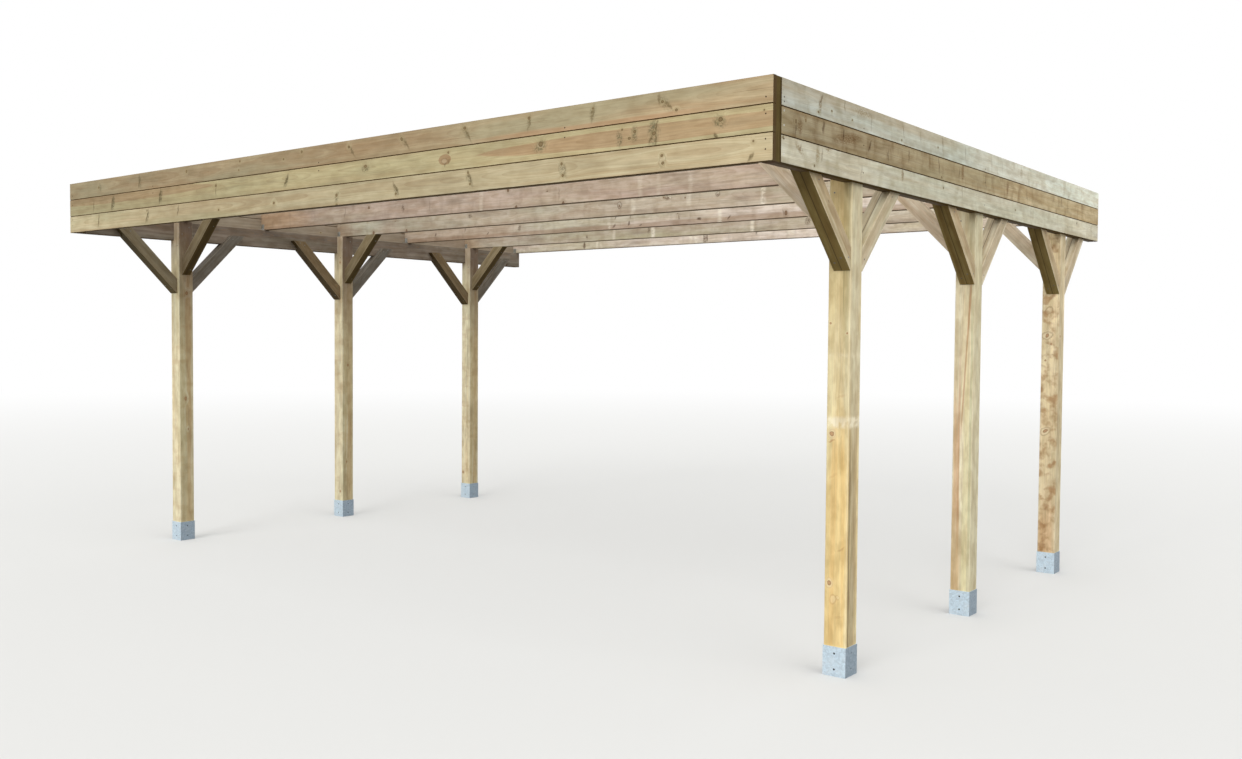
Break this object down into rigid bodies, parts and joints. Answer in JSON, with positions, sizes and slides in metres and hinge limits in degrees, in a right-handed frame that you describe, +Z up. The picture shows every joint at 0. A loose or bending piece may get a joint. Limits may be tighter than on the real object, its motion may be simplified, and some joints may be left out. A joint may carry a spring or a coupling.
{
  "type": "timber double carport",
  "caption": "Open flat-roof timber carport frame: square posts in galvanised shoes, side beams, knee braces, rafters and a board fascia round the front and sides.",
  "frame": {"origin": "on the floor, under the middle of the roof", "axes": "+Z up, +Y from the front to the open back, +X to the right when facing the carport from the front"},
  "size_m": [6.146, 4.91, 2.82],
  "materials": {
    "post_timber": "pressure-treated softwood, planed, cream yellow with a green tinge",
    "beam_timber": "pressure-treated softwood, planed, grey brown",
    "rafter_timber": "pressure-treated softwood, planed, pinkish to pale green",
    "brace_timber": "pressure-treated softwood, planed, olive tan",
    "fascia_timber": "pressure-treated softwood boards, planed, yellow tan to pale grey green",
    "batten_timber": "pressure-treated softwood, dark",
    "galvanised_steel": "hot-dip galvanised, dull, with a fine spangle"
  },
  "bodies": {
    "root": {"corner_batten_left": "batten_timber", "corner_batten_right": "batten_timber", "fascia_front_bottom": "fascia_timber", "fascia_front_middle": "fascia_timber", "fascia_front_top": "fascia_timber", "fascia_left_bottom": "fascia_timber", "fascia_left_middle": "fascia_timber", "fascia_left_top": "fascia_timber", "fascia_right_bottom": "fascia_timber", "fascia_right_middle": "fascia_timber", "fascia_right_top": "fascia_timber", "inner_braces_front_left": "brace_timber", "inner_braces_front_right": "brace_timber", "inner_braces_middle_left": "brace_timber", "inner_braces_middle_right": "brace_timber", "inner_braces_rear_left": "brace_timber", "inner_braces_rear_right": "brace_timber", "outer_braces_front_left": "brace_timber", "outer_braces_front_right": "brace_timber", "outer_braces_middle_left": "brace_timber", "outer_braces_middle_right": "brace_timber", "outer_braces_rear_left": "brace_timber", "outer_braces_rear_right": "brace_timber", "post_front_left": "post_timber", "post_front_right": "post_timber", "post_middle_left": "post_timber", "post_middle_right": "post_timber", "post_rear_left": "post_timber", "post_rear_right": "post_timber", "rafter_front": "rafter_timber", "rafter_front_bay": "rafter_timber", "rafter_over_front_posts": "rafter_timber", "rafter_over_middle_posts": "rafter_timber", "rafter_over_rear_posts": "rafter_timber", "rafter_rear": "rafter_timber", "rafter_rear_bay": "rafter_timber", "shoe_front_left": "galvanised_steel", "shoe_front_right": "galvanised_steel", "shoe_middle_left": "galvanised_steel", "shoe_middle_right": "galvanised_steel", "shoe_rear_left": "galvanised_steel", "shoe_rear_right": "galvanised_steel", "side_beam_left": "beam_timber", "side_beam_right": "beam_timber"}
  },
  "joints": []
}
